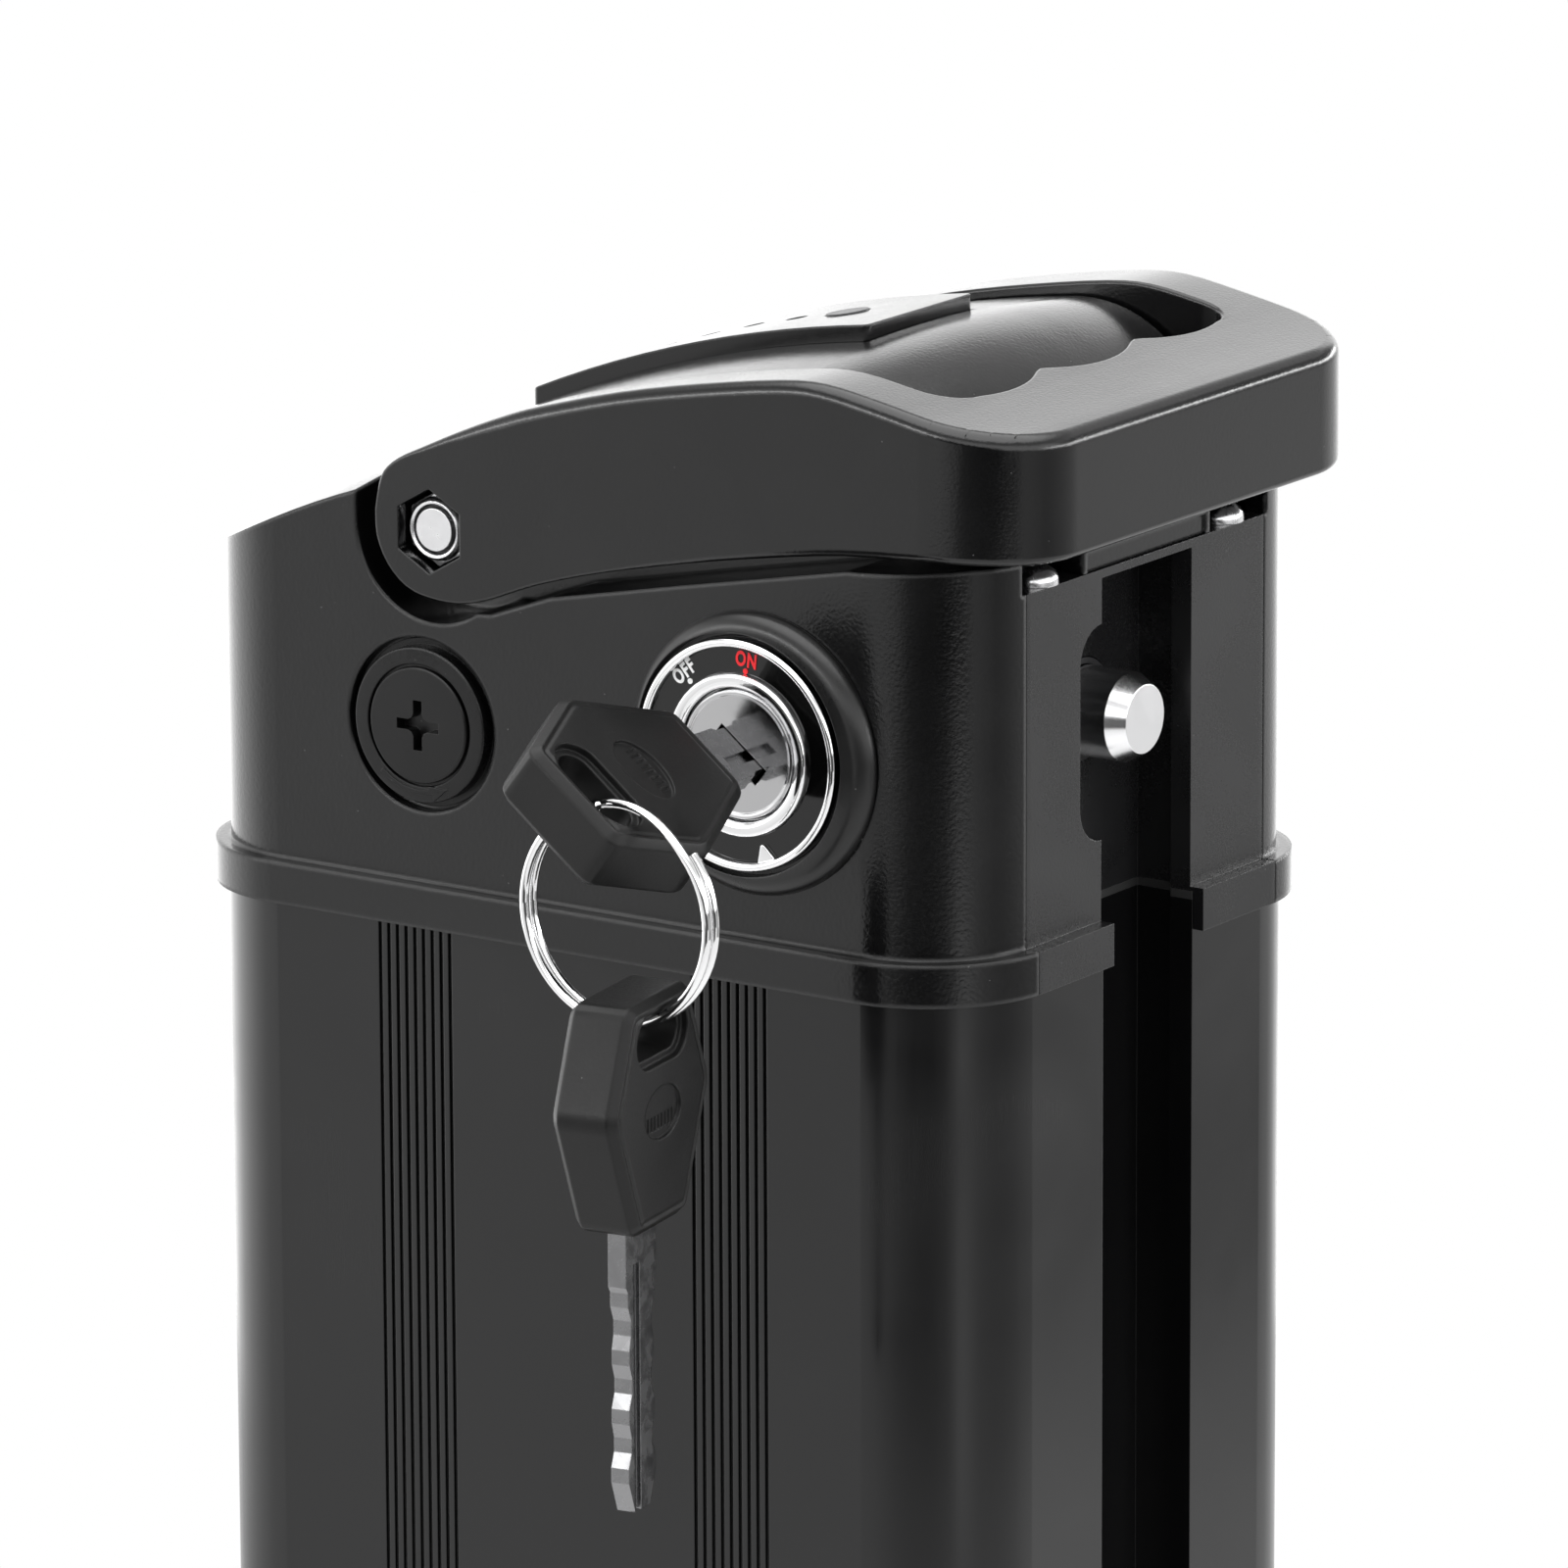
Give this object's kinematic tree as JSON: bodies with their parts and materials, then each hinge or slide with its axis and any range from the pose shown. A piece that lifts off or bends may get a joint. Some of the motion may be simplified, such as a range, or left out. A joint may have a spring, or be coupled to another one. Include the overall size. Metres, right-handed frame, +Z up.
{
  "type": "e-bike battery",
  "caption": "Slide-in seat-tube battery: flat aluminium case with plastic end caps, swing-up grab handle, key switch with latch pin, rail channel, fuse holder and charge socket.",
  "frame": {"origin": "centre of the bottom cap's flat bottom face, on the axis of the case", "axes": "+Z up the case towards the handle, +X towards the narrow face with the rail channel and latch pin, -Y towards the wide face with the key switch and fuse cap"},
  "size_m": [0.1206, 0.1245, 0.3889],
  "materials": {
    "case_anodised": "satin anodised, dark grey, fine lengthwise extrusion lines",
    "cap_plastic": "fine-grained satin black",
    "handle_plastic": "fine-grained satin black",
    "gasket_rubber": "matt",
    "chrome": "polished",
    "steel": "zinc plated",
    "pin_steel": "turned, with a bright nose",
    "key_steel": "nickel plated",
    "plate_face": "smooth satin black face with grained edges",
    "board": "solder mask",
    "light_lens": "frosted",
    "button_plastic": "satin",
    "dial_black": "semi-gloss",
    "mark_paint": "printed dots and arrowhead",
    "key_plastic": "satin black",
    "brass": "machined",
    "fuse_plastic": "satin to semi-gloss",
    "fuse_glass": "clear",
    "holder_plastic": "moulded",
    "cell_wrap": "plastic sleeve over a steel can",
    "foam": "closed-cell foam",
    "chip_black": "moulded",
    "lead_red": "silicone insulation",
    "lead_black": "silicone insulation"
  },
  "bodies": {
    "battery": {"case": "case_anodised", "top_cap": "cap_plastic", "channel_insert": "cap_plastic", "insert_screws": "chrome", "bottom_cap": "cap_plastic", "bottom_screws": "steel", "gasket_top": "gasket_rubber", "gasket_bottom": "gasket_rubber", "pivot_sleeve": "steel", "label_plate": "plate_face", "gauge_board": "board", "gauge_lights": "light_lens", "lock_bezel": "dial_black", "lock_trim_ring": "chrome", "lock_dial": "dial_black", "dial_marks": "mark_paint", "core_ring": "chrome", "lock_body": "steel", "lock_nut": "steel", "switch_block": "holder_plastic", "pin_guide": "holder_plastic", "latch_frame": "steel", "pin_spring": "steel", "fuse_socket": "fuse_plastic", "cells": "cell_wrap", "cell_holder_front": "holder_plastic", "cell_holder_rear": "holder_plastic", "nickel_strips": "steel", "end_pads": "foam", "bms_board": "board", "bms_parts": "chip_black", "positive_lead": "lead_red", "negative_lead": "lead_black", "discharge_socket": "fuse_plastic", "contact_blades": "brass", "charge_socket": "steel", "charge_nut": "steel", "cover_pin": "steel"},
    "handle": {"handle": "handle_plastic", "pivot_bolt": "steel", "pivot_nut": "steel"},
    "button": {"test_button": "button_plastic"},
    "lock_cam": {"lock_cam": "steel"},
    "lock_core": {"lock_core": "chrome"},
    "latch_pin": {"lock_pin": "pin_steel"},
    "key": {"key_head": "key_plastic", "key_blade": "key_steel"},
    "ring": {"key_ring": "chrome"},
    "spare_key": {"spare_key_head": "key_plastic", "spare_key_blade": "key_steel"},
    "fuse_carrier": {"fuse_carrier": "fuse_plastic", "fuse_tube": "fuse_glass", "fuse_ends": "chrome"},
    "fuse_cap": {"fuse_cap": "fuse_plastic"},
    "charge_cover": {"charge_cover": "gasket_rubber"}
  },
  "joints": [
    {"name": "handle_lift", "type": "hinge", "parent": "battery", "child": "handle", "pos_m": [-0.0181, 0, 0.3648], "axis": [0, -1, 0], "range_deg": [0, 78]},
    {"name": "unlock_turn", "type": "hinge", "parent": "battery", "child": "lock_cam", "pos_m": [0.0256, -0.0377, 0.3447], "axis": [0, 1, 0], "range_deg": [-90, 0]},
    {"name": "switch_turn", "type": "hinge", "parent": "lock_cam", "child": "lock_core", "pos_m": [0.0256, -0.0377, 0.3447], "axis": [0, 1, 0], "range_deg": [0, 46.6]},
    {"name": "pin_retract", "type": "slide", "parent": "battery", "child": "latch_pin", "axis": [-1, 0, 0], "range_m": [0, 0.0081], "deforming": ["pin_spring"]},
    {"name": "key_pull", "type": "slide", "parent": "lock_core", "child": "key", "axis": [0, -1, 0], "range_m": [0, 0.03]},
    {"name": "ring_turn", "type": "hinge", "parent": "key", "child": "ring", "pos_m": [0.03065, -0.07, 0.3335], "axis": [0, 1, 0], "range_deg": [-15, 30]},
    {"name": "spare_swing", "type": "hinge", "parent": "ring", "child": "spare_key", "pos_m": [0.03322, -0.07, 0.32142], "axis": [0.9877, 0.1564, 0], "range_deg": [-60, 8]},
    {"name": "fuse_pull", "type": "slide", "parent": "battery", "child": "fuse_carrier", "axis": [0, -1, 0], "range_m": [0, 0.03]},
    {"name": "fuse_cap_turn", "type": "hinge", "parent": "fuse_carrier", "child": "fuse_cap", "pos_m": [-0.02, -0.0377, 0.3417], "axis": [0, 1, 0], "range_deg": [-90, 0]},
    {"name": "button_press", "type": "slide", "parent": "battery", "child": "button", "axis": [0.1822, 0, -0.9833], "range_m": [0, 0.0006], "stiffness_N_per_m": 800},
    {"name": "charge_cover_open", "type": "hinge", "parent": "battery", "child": "charge_cover", "pos_m": [-0.0566, 0.0115, 0.011], "axis": [0, 0, -1], "range_deg": [0, 100]}
  ],
  "couplings": [
    {"joint": "pin_retract", "follows": "unlock_turn", "m_per_rad": -0.005093}
  ]
}
